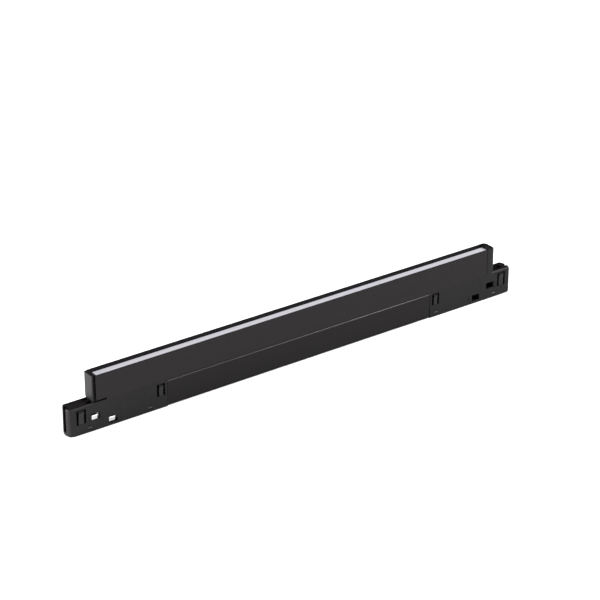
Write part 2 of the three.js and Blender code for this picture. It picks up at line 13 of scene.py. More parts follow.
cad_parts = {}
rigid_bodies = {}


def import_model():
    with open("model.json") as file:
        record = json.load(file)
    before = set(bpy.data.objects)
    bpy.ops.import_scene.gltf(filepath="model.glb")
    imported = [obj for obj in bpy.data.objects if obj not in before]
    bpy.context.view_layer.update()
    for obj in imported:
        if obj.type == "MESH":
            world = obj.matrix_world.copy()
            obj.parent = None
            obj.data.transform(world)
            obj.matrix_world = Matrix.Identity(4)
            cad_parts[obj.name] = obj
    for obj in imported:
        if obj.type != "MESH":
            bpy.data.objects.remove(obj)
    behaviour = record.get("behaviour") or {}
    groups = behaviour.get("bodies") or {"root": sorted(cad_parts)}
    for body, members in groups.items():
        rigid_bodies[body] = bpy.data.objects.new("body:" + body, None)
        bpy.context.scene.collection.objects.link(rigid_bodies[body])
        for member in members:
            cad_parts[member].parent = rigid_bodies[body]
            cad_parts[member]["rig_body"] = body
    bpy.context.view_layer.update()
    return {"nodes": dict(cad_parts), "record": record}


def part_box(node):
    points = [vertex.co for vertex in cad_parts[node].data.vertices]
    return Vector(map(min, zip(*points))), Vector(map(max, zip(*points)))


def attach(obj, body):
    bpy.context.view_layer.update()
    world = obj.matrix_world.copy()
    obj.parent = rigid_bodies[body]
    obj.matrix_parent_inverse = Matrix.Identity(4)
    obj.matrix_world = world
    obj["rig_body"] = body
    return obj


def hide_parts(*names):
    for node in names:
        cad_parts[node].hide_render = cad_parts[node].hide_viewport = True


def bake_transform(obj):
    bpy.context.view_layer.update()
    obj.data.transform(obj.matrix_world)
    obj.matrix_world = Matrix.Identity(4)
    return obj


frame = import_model()

MM = 0.001
UP = Vector((0, 0, 1))
DOWN = Vector((0, 0, -1))

# ---------------------------------------------------------------- sizes, in millimetres

EDGE_METAL = 0.2                 # rounding of extruded edges
EDGE_CROWN = 0.9                 # rounding of the top and bottom of an adapter's free end
EDGE_WINDOW = 0.14               # rounding round windows and slots
EDGE_SMALL = 0.08                # rounding of small pieces
SHARP = math.radians(28)         # an edge that turns more than this is rounded

CAP_FALL = {"left": 0.5, "right": 1.3}   # how far an end cap's top falls away over its end face
CAP_REACH = {"left": 1.9, "right": 3.4}  # how far in from the end face the fall is felt
CAD_CAP_CORNER = 1.2             # radius of the end caps' upright edges in the CAD
RIGHT_CAP_CORNER = 2.8           # radius of the right end cap's upright edges here
RIGHT_CAP_CROWN = 0.8            # how far the right end cap's end face stands out past the CAD's

WALL_FACE = 4.85                 # from the middle of an adapter to its outer face
ADAPTER_ROOF = 18.1              # height of an adapter's roof
CROWN_DEPTH = 2.6                # how far an adapter's free end stands out in its middle
BARE_ROOF = 16.5                 # how far from the free end the edges of an adapter's roof are rounded
ROOF_FALL = 1.6                  # how far the right adapter's roof falls away over its free end
ROOF_REACH = 4.0                 # how far in from the free end that fall is felt
STRIP_X = (5.2, 13.2)            # the strips under the right roof's recess, from the free end
STRIP_Y = (1.7, 2.5)             # and from the middle
STRIP_Z = (16.3, 16.8)

SNAP_TEETH = [(14.3, -1), (55.3, -1), (14.3, 1), (61.8, 1)]  # from the free end, on the front or the back
PLATE_HALF = 2.1                 # half the width of the plate behind a snap tooth
PLATE_Y = (2.9, 3.5)             # and its faces, from the middle
PLATE_Z = (0.5, 4.5)

PAD_TRIM = 0.15                  # how far the far edge of a contact's pad is drawn in
PAD_TRIM_LENGTH = 0.6            # and how much of the pad moves

CAMERA_AZIMUTH = math.radians(-35.536)
CAMERA_ELEVATION = math.radians(26.47)
CAMERA_DISTANCE = 1356.0
CAMERA_LENS = 134.1
CAMERA_TARGET = Vector((-2.825, -4.9, 42.39))


def node_box(node):
    low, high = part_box(node)
    return low / MM, high / MM


# ---------------------------------------------------------------- materials

class Nodes:
    """A material's node tree, with short ways to add the usual nodes."""

    def __init__(self, name):
        self.material = bpy.data.materials.new(name)
        self.material.use_nodes = True
        self.tree = self.material.node_tree
        self.shader = self.tree.nodes["Principled BSDF"]
        self.place = self.add("ShaderNodeTexCoord").outputs["Object"]

    def add(self, kind, **values):
        node = self.tree.nodes.new(kind)
        for key, value in values.items():
            setattr(node, key, value)
        return node

    def link(self, source, target):
        self.tree.links.new(source, target)

    def noise(self, scale, detail=2.0, stretch=(1, 1, 1)):
        """Noise with `scale` features per metre, drawn out by `stretch`."""
        mapping = self.add("ShaderNodeMapping")
        mapping.inputs["Scale"].default_value = stretch
        noise = self.add("ShaderNodeTexNoise")
        noise.inputs["Scale"].default_value = scale
        noise.inputs["Detail"].default_value = detail
        self.link(self.place, mapping.inputs["Vector"])
        self.link(mapping.outputs["Vector"], noise.inputs["Vector"])
        return noise.outputs["Fac"]

    def spread(self, source, low, high):
        """Maps noise, which stays around a half, onto low to high."""
        node = self.add("ShaderNodeMapRange")
        node.inputs["From Min"].default_value = 0.3
        node.inputs["From Max"].default_value = 0.7
        node.inputs["To Min"].default_value = low
        node.inputs["To Max"].default_value = high
        self.link(source, node.inputs["Value"])
        return node.outputs["Result"]

    def tint(self, factor, first, second):
        node = self.add("ShaderNodeMix", data_type="RGBA")
        node.inputs["A"].default_value = (*first, 1)
        node.inputs["B"].default_value = (*second, 1)
        self.link(factor, node.inputs["Factor"])
        return node.outputs["Result"]

    def bump(self, heights, strength, distance):
        """Adds a bump of `distance` metres from each height in turn."""
        normal = None
        for height in heights:
            node = self.add("ShaderNodeBump")
            node.inputs["Strength"].default_value = strength
            node.inputs["Distance"].default_value = distance
            self.link(height, node.inputs["Height"])
            if normal:
                self.link(normal, node.inputs["Normal"])
            normal = node.outputs["Normal"]
        self.link(normal, self.shader.inputs["Normal"])

    def set(self, **values):
        """Sets sockets of the shader, such as Specular_IOR_Level=0.3."""
        for key, value in values.items():
            self.shader.inputs[key.replace("_", " ")].default_value = value


def shade(colour, share):
    return tuple(c * share for c in colour)


def moulded_plastic(name, colour, roughness, grain=2600, depth=0.00002, specular=0.3):
    """Moulded plastic with a fine spark-eroded grain and faint flow marks."""
    n = Nodes(name)
    flow = n.tint(n.noise(70, 3), shade(colour, 0.8), shade(colour, 1.25))
    n.link(flow, n.shader.inputs["Base Color"])
    n.link(n.spread(n.noise(240, 3), roughness - 0.05, roughness + 0.05), n.shader.inputs["Roughness"])
    n.bump([n.noise(grain, 2), n.noise(grain / 6, 1)], 0.35, depth)
    n.set(Specular_IOR_Level=specular)
    return n.material


def coated_extrusion(name, colour, roughness, specular=0.3):
    """Extruded aluminium under a thin satin coat, with die lines along its length."""
    n = Nodes(name)
    lines = n.noise(1500, 2, (0.006, 1, 1))
    clouds = n.tint(n.noise(45, 3, (0.4, 1, 1)), shade(colour, 0.8), shade(colour, 1.25))
    n.link(clouds, n.shader.inputs["Base Color"])
    n.link(n.spread(lines, roughness - 0.06, roughness + 0.06), n.shader.inputs["Roughness"])
    n.bump([lines, n.noise(3600, 1)], 0.25, 0.000012)
    n.set(Specular_IOR_Level=specular)
    return n.material


def opal_acrylic():
    """Opal acrylic, satin and slightly cool."""
    n = Nodes("opal_acrylic")
    clouds = n.tint(n.noise(30, 2), (0.345, 0.34, 0.38), (0.37, 0.365, 0.39))
    n.link(clouds, n.shader.inputs["Base Color"])
    n.link(n.spread(n.noise(900, 2), 0.5, 0.62), n.shader.inputs["Roughness"])
    n.bump([n.noise(2400, 2)], 0.2, 0.00001)
    n.set(Subsurface_Weight=0.25, Subsurface_Radius=(0.9, 0.9, 1.0), Subsurface_Scale=0.0015)
    return n.material


def plated_metal(name, colour, roughness, stretch=(1, 1, 1)):
    """Bright plating with faint drawing lines and rubbed patches."""
    n = Nodes(name)
    lines = n.noise(2200, 2, stretch)
    n.link(n.tint(n.noise(600, 3), shade(colour, 0.86), colour), n.shader.inputs["Base Color"])
    n.link(n.spread(n.noise(900, 3), roughness - 0.06, roughness + 0.1), n.shader.inputs["Roughness"])
    n.bump([lines], 0.25, 0.00001)
    n.set(Metallic=1.0)
    return n.material


def solder_mask(name, colour):
    """A board's lacquer, glossy, with a glass weave just showing."""
    n = Nodes(name)
    weave = n.tint(n.noise(900, 2), shade(colour, 0.85), shade(colour, 1.15))
    n.link(weave, n.shader.inputs["Base Color"])
    n.link(n.spread(n.noise(500, 2), 0.3, 0.42), n.shader.inputs["Roughness"])
    n.bump([n.noise(1800, 1)], 0.15, 0.00001)
    return n.material


FINISHES = {
    "bar_aluminium": coated_extrusion("bar_coat", (0.0078, 0.0056, 0.0070), 0.46, 0.158),
    "channel_aluminium": coated_extrusion("channel_coat", (0.0052, 0.0040, 0.0048), 0.44, 0.13),
    "black_plastic": moulded_plastic("satin_black_plastic", (0.0050, 0.0041, 0.0046), 0.46, specular=0.166),
    "opal_diffuser": opal_acrylic(),
    "led_board_white": solder_mask("white_solder_mask", (0.78, 0.78, 0.75)),
    "thermal_tape": moulded_plastic("thermal_tape", (0.66, 0.66, 0.6), 0.8, 1200),
    "clear_film": moulded_plastic("milky_film", (0.6, 0.62, 0.58), 0.35, 700),
    "board_green": solder_mask("green_solder_mask", (0.02, 0.09, 0.045)),
    "terminal_white": moulded_plastic("nylon_white", (0.7, 0.7, 0.66), 0.5, 1800),
    "component_black": moulded_plastic("epoxy_black", (0.02, 0.02, 0.021), 0.55, 4000),
    "capacitor_sleeve": moulded_plastic("shrink_sleeve", (0.02, 0.045, 0.12), 0.35, 900),
    "ferrite_grey": moulded_plastic("ferrite", (0.045, 0.042, 0.04), 0.7, 2600, 0.00004),
    "contact_silver": plated_metal("nickel_plating", (0.5, 0.5, 0.51), 0.36),
    "screw_steel": plated_metal("zinc_plating", (0.55, 0.55, 0.56), 0.34),
    "red_wire": moulded_plastic("red_insulation", (0.32, 0.015, 0.012), 0.4, 1500),
    "black_wire": moulded_plastic("black_insulation", (0.012, 0.012, 0.013), 0.4, 1500),
}
# A lighter, glossier coat for the channel's top slopes: a painted highlight along that edge.
PAINTED_HIGHLIGHT_COAT = coated_extrusion("painted_highlight_coat", (0.024, 0.0215, 0.024), 0.4, 0.27)
POLISHED_PLASTIC = moulded_plastic("polished_black_plastic", (0.008, 0.0075, 0.008), 0.4, specular=0.2)
# Darker, matt plastic for the left end cap's sides: painted shade.
PAINTED_SHADE_PLASTIC = moulded_plastic("painted_shade_black_plastic", (0.003, 0.0028, 0.003), 0.6, specular=0.06)
# Lighter, glossier plastic for the covers' snap teeth: a painted highlight.
PAINTED_HIGHLIGHT_PLASTIC = moulded_plastic("painted_highlight_black_plastic", (0.035, 0.033, 0.035), 0.4, specular=0.25)
LED_PHOSPHOR = moulded_plastic("led_phosphor", (0.75, 0.6, 0.12), 0.4, 1500)
TINNED = plated_metal("tinned_lead", (0.7, 0.7, 0.72), 0.35)
ALUMINIUM_BARE = plated_metal("bare_aluminium", (0.8, 0.8, 0.8), 0.3)
COPPER_WIRE = plated_metal("enamelled_copper", (0.62, 0.25, 0.1), 0.3)
RUBBER = moulded_plastic("seal_rubber", (0.025, 0.025, 0.025), 0.8, 1800)
BUTTON_ORANGE = moulded_plastic("button_orange", (0.6, 0.16, 0.02), 0.45, 1800)
SLOT_OF = {row["node"]: row["material_slot"] for row in frame["record"]["subparts"]}


def use_material(piece, material):
    piece.data.materials.clear()
    piece.data.materials.append(material)


# ---------------------------------------------------------------- meshes

def cad_mesh(node):
    """A copy of a CAD node's mesh with its flat faces made whole again."""
    bm = bmesh.new()
    bm.from_mesh(frame["nodes"][node].data)
    bmesh.ops.scale(bm, vec=(1 / MM,) * 3, verts=bm.verts)
    bmesh.ops.remove_doubles(bm, verts=bm.verts, dist=0.001)
    bmesh.ops.dissolve_limit(bm, angle_limit=math.radians(0.5), verts=bm.verts, edges=bm.edges)
    return bm


def round_edges(bm, width, where=None, segments=2, clamp=True):
    """Rounds the sharp outward edges, or those of them whose middle `where` accepts."""
    picked = []
    for edge in bm.edges:
        if len(edge.link_faces) != 2 or edge.calc_face_angle_signed() < SHARP:
            continue
        middle = (edge.verts[0].co + edge.verts[1].co) / 2
        if where is None or where(edge, middle):
            picked.append(edge)
    bmesh.ops.bevel(
        bm, geom=picked, offset=width, segments=segments, profile=0.5, affect="EDGES", clamp_overlap=clamp)


def finish_piece(bm, name, slot, body, *replaced, extra=()):
    """Turns a mesh in millimetres into a piece with its finish that rides on a body."""
    bmesh.ops.recalc_face_normals(bm, faces=bm.faces)
    bmesh.ops.scale(bm, vec=(MM,) * 3, verts=bm.verts)
    for face in bm.faces:
        face.smooth = True
    for edge in bm.edges:
        edge.smooth = len(edge.link_faces) == 2 and edge.calc_face_angle(0) < SHARP
    mesh = bpy.data.meshes.new(name)
    bm.to_mesh(mesh)
    bm.free()
    piece = bpy.data.objects.new(name, mesh)
    bpy.context.scene.collection.objects.link(piece)
    weights = piece.modifiers.new("even_shading", "WEIGHTED_NORMAL")
    weights.keep_sharp = True
    for material in (FINISHES[slot], *extra):
        mesh.materials.append(material)
    if body:
        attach(piece, body)
    if replaced:
        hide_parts(*replaced)
    return piece


for name, cad_object in frame["nodes"].items():
    use_material(cad_object, FINISHES[SLOT_OF[name]])


# ---------------------------------------------------------------- camera, floor and lights

def make_camera():
    direction = Vector((
        math.sin(CAMERA_AZIMUTH) * math.cos(CAMERA_ELEVATION),
        -math.cos(CAMERA_AZIMUTH) * math.cos(CAMERA_ELEVATION),
        math.sin(CAMERA_ELEVATION),
    ))
    data = bpy.data.cameras.new("camera")
    data.lens = CAMERA_LENS
    data.sensor_width = 36
    data.clip_end = 50
    camera = bpy.data.objects.new("camera", data)
    camera.location = (CAMERA_TARGET + direction * CAMERA_DISTANCE) * MM
    camera.rotation_euler = (-direction).to_track_quat("-Z", "Y").to_euler()
    bpy.context.scene.collection.objects.link(camera)
    bpy.context.scene.camera = camera


def make_floor():
    size = 6.0
    bm = bmesh.new()
    bmesh.ops.create_grid(bm, x_segments=2, y_segments=2, size=size)
    mesh = bpy.data.meshes.new("floor")
    bm.to_mesh(mesh)
    bm.free()
    floor = bpy.data.objects.new("floor", mesh)
    bpy.context.scene.collection.objects.link(floor)
    n = Nodes("floor_white")
    n.set(Roughness=0.9, Base_Color=(0.9, 0.9, 0.9, 1), Specular_IOR_Level=0.0)
    use_material(floor, n.material)


def area_light(name, place, target, size, power, colour=(1, 1, 1)):
    data = bpy.data.lights.new(name, "AREA")
    data.shape = "RECTANGLE"
    data.size, data.size_y = size
    data.energy = power
    data.color = colour
    light = bpy.data.objects.new(name, data)
    light.location = place
    light.rotation_euler = (Vector(target) - Vector(place)).to_track_quat("-Z", "Y").to_euler()
    light.visible_camera = False
    bpy.context.scene.collection.objects.link(light)


def make_studio():
    world = bpy.data.worlds.new("studio")
    world.use_nodes = True
    world.node_tree.nodes["Background"].inputs["Color"].default_value = (1, 1, 1, 1)
    world.node_tree.nodes["Background"].inputs["Strength"].default_value = 0.035
    bpy.context.scene.world = world
    area_light("top_softbox", (-0.1, -0.3, 1.7), (0, 0, 0), (2.4, 2.4), 54)
    area_light("left_softbox", (-0.74, 0.19, 0.11), (-0.15, 0, 0.02), (0.4, 0.2), 15)
    area_light("right_softbox", (1.0, -0.7, 1.1), (0.1, 0, 0.02), (0.4, 0.4), 24)
    bpy.context.scene.view_settings.view_transform = "Standard"


make_camera()
make_floor()
make_studio()


# ---------------------------------------------------------------- building blocks

def add_box(bm, x0, x1, y0, y1, z0, z1, material=0):
    """Adds a cuboid to the mesh and returns its faces."""
    size = Vector((x1 - x0, y1 - y0, z1 - z0))
    centre = Vector((x1 + x0, y1 + y0, z1 + z0)) / 2
    matrix = Matrix.Translation(centre) @ Matrix.Diagonal((*size, 1))
    made = bmesh.ops.create_cube(bm, size=1, matrix=matrix)
    faces = list({face for vert in made["verts"] for face in vert.link_faces})
    for face in faces:
        face.material_index = material
    return faces


def add_rounded_box(bm, x0, x1, y0, y1, z0, z1, radius, material=0, segments=3):
    faces = add_box(bm, x0, x1, y0, y1, z0, z1, material)
    edges = list({edge for face in faces for edge in face.edges})
    bmesh.ops.bevel(
        bm, geom=edges, offset=radius, segments=segments, profile=0.5, affect="EDGES", clamp_overlap=True)


def add_prism(bm, outline, x0, x1, material=0):
    """Adds a (y, z) outline drawn out along X."""
    rings = [[bm.verts.new((x, y, z)) for y, z in outline] for x in (x0, x1)]
    count = len(outline)
    faces = [bm.faces.new(rings[0]), bm.faces.new(rings[1][::-1])]
    for i in range(count):
        j = (i + 1) % count
        faces.append(bm.faces.new((rings[0][i], rings[1][i], rings[1][j], rings[0][j])))
    for face in faces:
        face.material_index = material
    return faces


def add_turned(bm, profile, start, direction, material=0, steps=28):
    """Adds a turned solid of (radius, height) pairs up an axis from `start`, closed at both ends."""
    turn = direction.to_track_quat("Z", "Y").to_matrix()
    rings = []
    for radius, height in profile:
        ring = []
        for i in range(steps):
            angle = 2 * math.pi * i / steps
            local = Vector((radius * math.cos(angle), radius * math.sin(angle), height))
            ring.append(bm.verts.new(start + turn @ local))
        rings.append(ring)
    faces = [bm.faces.new(rings[0][::-1]), bm.faces.new(rings[-1])]
    for low, high in zip(rings, rings[1:]):
        for i in range(steps):
            j = (i + 1) % steps
            faces.append(bm.faces.new((low[i], low[j], high[j], high[i])))
    for face in faces:
        face.material_index = material


def add_thread(bm, centre, radius, z0, z1, pitch=0.9, height=0.16, steps=14):
    """Adds a screw thread: a three-sided ridge wound up round an upright shank."""
    total = int((z1 - z0) / pitch * steps)
    rings = []
    for i in range(total + 1):
        angle = 2 * math.pi * i / steps
        z = z0 + pitch * i / steps
        out = Vector((math.cos(angle), math.sin(angle), 0))
        base = centre + Vector((0, 0, z))
        rings.append([bm.verts.new(base + out * r + Vector((0, 0, h))) for r, h in (
            (radius - 0.06, -pitch * 0.32), (radius + height, 0), (radius - 0.06, pitch * 0.32))])
    bm.faces.new(rings[0][::-1])
    bm.faces.new(rings[-1])
    for low, high in zip(rings, rings[1:]):
        for i in range(3):
            j = (i + 1) % 3
            bm.faces.new((low[i], low[j], high[j], high[i]))


def carried_piece(node, name, slot=None, width=EDGE_SMALL, where=None):
    """A CAD node's shape with its outward edges rounded."""
    bm = cad_mesh(node)
    round_edges(bm, width, where)
    return finish_piece(bm, name, slot or SLOT_OF[node], frame["nodes"][node]["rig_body"], node)


# ---------------------------------------------------------------- light bar

def along_x(edge):
    return abs(edge.verts[0].co.x - edge.verts[1].co.x) > 1


def make_light_bar():
    bar_top = node_box("light_bar_profile")[1].z
    channel_top = node_box("driver_channel")[1].z

    def rims_and_skirts(edge, middle):
        at_top_or_bottom = middle.z > bar_top - 0.01 or middle.z < channel_top + 0.5
        return along_x(edge) and abs(middle.y) > 4 and at_top_or_bottom

    carried_piece("light_bar_profile", "bar_extrusion", None, EDGE_METAL, rims_and_skirts)


def round_over_end(bm, outer, inwards, top, radius, reach, steps=6):
    """Lets the top fall away over an end face in a quarter circle, less and less further in."""
    for step in range(steps):
        level = top - radius + radius * math.sin(math.pi / 2 * step / steps)
        geometry = [*bm.verts, *bm.edges, *bm.faces]
        bmesh.ops.bisect_plane(bm, geom=geometry, dist=0.0001, plane_co=(0, 0, level), plane_no=(0, 0, 1))
    for vert in bm.verts:
        rise = min(vert.co.z - (top - radius), radius)
        if rise > 0:
            fall = radius - math.sqrt(radius ** 2 - rise ** 2)
            vert.co.x += inwards * fall * max(0, 1 - abs(vert.co.x - outer) / reach)


def crown_end(bm, outer, inwards, half, radius, crown, steps=6):
    """Rounds the upright edges of an end to a larger radius and lets its end face stand out."""
    for vert in bm.verts:
        if abs(vert.co.x - outer) < CAD_CAP_CORNER + 0.01:
            vert.co.x -= inwards * crown
    tip = outer - inwards * crown
    for step in range(1, steps + 1):
        level = tip + inwards * radius * (1 - math.cos(math.pi / 2 * step / steps))
        geometry = [*bm.verts, *bm.edges, *bm.faces]
        bmesh.ops.bisect_plane(bm, geom=geometry, dist=0.0001, plane_co=(level, 0, 0), plane_no=(1, 0, 0))
    for vert in bm.verts:
        run = radius - abs(vert.co.x - tip)
        if run > 0:
            limit = half - radius + math.sqrt(max(radius ** 2 - run ** 2, 0))
            vert.co.y = max(-limit, min(limit, vert.co.y))


def make_end_cap(hand):
    """A moulded cap, its top rounded over its end and along its sides. The left one's sides get a darker,
    matt plastic: painted shade.
    """
    node = f"bar_end_cap_{hand}"
    low, high = node_box(node)
    outer, inwards = (low.x, 1) if hand == "left" else (high.x, -1)

    def along_side(edge, middle):
        return middle.z > high.z - 0.01 and abs(middle.y) > 4.9

    bm = cad_mesh(node)
    round_edges(bm, EDGE_METAL, along_side)
    if hand == "right":
        crown_end(bm, outer, inwards, high.y, RIGHT_CAP_CORNER, RIGHT_CAP_CROWN)
        outer -= inwards * RIGHT_CAP_CROWN
    round_over_end(bm, outer, inwards, high.z, CAP_FALL[hand], CAP_REACH[hand])
    bm.normal_update()
    # The left cap's sides take the darker plastic: painted shade.
    for face in bm.faces:
        if hand == "left" and abs(face.normal.y) > 0.8:
            face.material_index = 1
    finish_piece(bm, f"end_cap_{hand}", "black_plastic", "body", node, extra=[PAINTED_SHADE_PLASTIC])


def make_diffuser():
    top = node_box("diffuser")[1].z

    def upper_edges(edge, middle):
        return middle.z > top - 0.01

    carried_piece("diffuser", "opal_cover", None, 0.15, upper_edges)


def make_led_board():
    low, high = node_box("led_board")
    board_top = high.z - 0.7
    count = 36
    pitch = (high.x - low.x) / count
    board = bmesh.new()
    add_rounded_box(board, low.x, high.x, low.y, high.y, low.z, board_top, 0.1)
    finish_piece(board, "led_board_white", "led_board_white", "body", "led_board")
    copper = bmesh.new()
    packages = bmesh.new()
    phosphor = [(1.15, 0), (1.15, 0.1), (1.0, 0.16), (0.4, 0.2)]
    for i in range(count):
        x = low.x + (i + 0.5) * pitch
        for side in (-1, 1):
            ends = sorted((x + side * 1.3, x + side * 2.1))
            add_rounded_box(copper, *ends, -1.2, 1.2, board_top - 0.05, board_top + 0.12, 0.05)
        add_rounded_box(packages, x - 1.75, x + 1.75, -1.4, 1.4, board_top + 0.02, high.z - 0.04, 0.1)
        add_turned(packages, phosphor, Vector((x, 0, high.z - 0.2)), UP, material=1, steps=20)
    finish_piece(copper, "led_solder_pads", "contact_silver", "body")
    finish_piece(packages, "led_packages", "led_board_white", "body", extra=[LED_PHOSPHOR])


# ---------------------------------------------------------------- track adapters

def make_housing(hand):
    """An adapter's shell. Two strips under the right roof's recess keep the floor from showing through."""
    node = f"adapter_housing_{hand}"
    low, high = node_box(node)
    free_end = low.x if hand == "left" else high.x

    def crown_rim(edge, middle):
        distance = abs(middle.x - free_end)
        from_centre = ((CROWN_DEPTH - distance) / CROWN_DEPTH) ** 2 + (middle.y / WALL_FACE) ** 2
        at_top_or_bottom = middle.z < 0.01 or middle.z > ADAPTER_ROOF - 0.01
        return distance < CROWN_DEPTH and from_centre > 0.9 and at_top_or_bottom

    def outside(edge, middle):
        on_side = abs(abs(middle.y) - WALL_FACE) < 0.02 and middle.z < ADAPTER_ROOF - 0.6
        on_roof = middle.z > ADAPTER_ROOF - 0.6 and abs(middle.x - free_end) < BARE_ROOF
        return middle.z > 0.01 and (on_side or on_roof)

    bm = cad_mesh(node)
    round_edges(bm, EDGE_CROWN, crown_rim, segments=4, clamp=False)
    round_edges(bm, EDGE_WINDOW, outside)
    if hand == "right":
        round_over_end(bm, free_end, -1, ADAPTER_ROOF, ROOF_FALL, ROOF_REACH)
        for side in (-1, 1):
            faces_y = sorted(side * y for y in STRIP_Y)
            add_box(bm, free_end - STRIP_X[1], free_end - STRIP_X[0], *faces_y, *STRIP_Z)
    finish_piece(bm, f"housing_{hand}", "black_plastic", "body", node)


def make_cover(hand):
    """The snap-on cover, with a sunk panel and ejector marks underneath.

    A plate behind each snap tooth keeps the floor from showing through the tooth's window.
    """
    node = f"adapter_cover_{hand}"
    low, high = node_box(node)
    bm = cad_mesh(node)
    under = [face for face in bm.faces if face.normal.z < -0.9 and face.calc_center_median().z < 0.01]
    bmesh.ops.inset_region(bm, faces=under, thickness=0.9, depth=0)
    bmesh.ops.inset_region(bm, faces=under, thickness=0.15, depth=-0.2)
    centre = (low.x + high.x) / 2
    ejector_mark = [(1.1, 0), (1.1, 0.14), (0.95, 0.18)]
    for place in (-24, -8, 8, 24):
        add_turned(bm, ejector_mark, Vector((centre + place, 0, 0.25)), DOWN, steps=24)
    # Faces out at the sides and above 2.4 mm take the lighter plastic: a painted highlight on the snap
    # teeth.
    for face in bm.faces:
        middle = face.calc_center_median()
        if abs(middle.y) > 4.2 and middle.z > 2.4:
            face.material_index = 1
    housing_low, housing_high = node_box(f"adapter_housing_{hand}")
    for place, side in SNAP_TEETH:
        x = housing_low.x + place if hand == "left" else housing_high.x - place
        faces_y = sorted(side * y for y in PLATE_Y)
        add_box(bm, x - PLATE_HALF, x + PLATE_HALF, *faces_y, *PLATE_Z)
    finish_piece(bm, f"cover_{hand}", "black_plastic", "body", node, extra=[PAINTED_HIGHLIGHT_PLASTIC])


def make_latch(node):
    """A sprung finger that grows out of the wall through a thinner root and carries a rounded nose."""
    low, high = node_box(node)
    side = -1 if (low.y + high.y) < 0 else 1
    face = WALL_FACE
    back = 3.65
    root, tip = low.z, high.z
    nose_low = tip - 2.75
    front_points = [
        (face - 0.2, root - 1.0), (face - 0.16, root - 0.25), (face - 0.1, root + 0.1), (face, root + 0.35)]
    front_points += [(face, root + 0.35 + 0.5 * i) for i in range(1, 5)]
    steps = 10
    proud = max(abs(low.y), abs(high.y)) - face
    for i in range(steps + 1):
        t = i / steps
        front_points.append((face + proud * math.sin(math.pi * t) ** 0.8, nose_low + 2.3 * t))
    front_points.append((face - 0.12, tip - 0.15))
    back_points = [
        (back + 0.2, tip), (back, tip - 0.25), (back, root + 2.4), (back, root + 1.6), (back, root + 1.0),
        (back, root + 0.5), (back + 0.15, root + 0.1), (back + 0.3, root - 0.3), (back + 0.35, root - 1.0)]
    outline = [(side * y, z) for y, z in front_points + back_points]
    bm = bmesh.new()
    add_prism(bm, outline, low.x, high.x)
    bmesh.ops.recalc_face_normals(bm, faces=bm.faces)
    flanks = [edge for edge in bm.edges if not along_x(edge)]
    bmesh.ops.bevel(
        bm, geom=flanks, offset=0.18, segments=2, profile=0.5, affect="EDGES", clamp_overlap=True)
    piece = finish_piece(bm, f"{node}_finger", "black_plastic", None, node)
    use_material(piece, POLISHED_PLASTIC)
    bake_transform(piece)


def make_contact(level):
    """A contact, its pad's far edge drawn in a little so that it clears the housing when pressed."""
    node = f"contact_{level}"
    low = node_box(node)[0]

    def pad(edge, middle):
        return middle.y < low.y + 0.7

    bm = cad_mesh(node)
    round_edges(bm, 0.22, pad, segments=3)
    for vert in bm.verts:
        if vert.co.x < low.x + PAD_TRIM_LENGTH and vert.co.y < low.y + 1.6:
            vert.co.x += PAD_TRIM
    finish_piece(bm, f"contact_tongue_{level}", "contact_silver", node, node)
    carried_piece(f"contact_terminal_{level}", f"contact_tag_{level}", None, 0.05)


def make_polarity_marks():
    """A raised plus beside the upper contact and a raised minus beside the lower one."""
    bm = bmesh.new()
    plus_x = node_box("contact_upper")[0].x + 7.2
    minus_x = node_box("contact_lower")[0].x + 8.6
    front, back = -WALL_FACE - 0.12, -WALL_FACE + 0.1
    for x, z, upright in ((plus_x, 6.9, True), (minus_x, 2.6, False)):
        add_rounded_box(bm, x - 0.9, x + 0.9, front, back, z - 0.17, z + 0.17, 0.04, segments=2)
        if upright:
            add_rounded_box(bm, x - 0.17, x + 0.17, front, back, z - 0.9, z + 0.9, 0.04, segments=2)
    finish_piece(bm, "polarity_marks", "black_plastic", "body")


def make_screw(node):
    low, high = node_box(node)
    centre = Vector(((low.x + high.x) / 2, (low.y + high.y) / 2, 0))
    bm = cad_mesh(node)
    round_edges(bm, 0.06)
    add_thread(bm, centre, 1.25, low.z + 4.6, high.z - 1.4)
    finish_piece(bm, f"{node}_threaded", "screw_steel", "body", node)


# ---------------------------------------------------------------- driver

def make_channel():
    """The channel, with a lighter, glossier coat on the slopes along its top edges: a painted highlight."""
    top = node_box("driver_channel")[1].z

    def outer_edges(edge, middle):
        return along_x(edge) and abs(middle.y) > 4.3

    bm = cad_mesh("driver_channel")
    round_edges(bm, 0.15, outer_edges)
    # The slopes along the top edges take the lighter coat: a painted highlight.
    for face in bm.faces:
        middle = face.calc_center_median()
        sloping = abs(face.normal.y) > 0.3 and face.normal.z > 0.3
        if sloping and abs(middle.y) > 4.2 and middle.z > top - 0.8:
            face.material_index = 1
    finish_piece(bm, "channel_extrusion", "channel_aluminium", "body", "driver_channel", extra=[PAINTED_HIGHLIGHT_COAT])


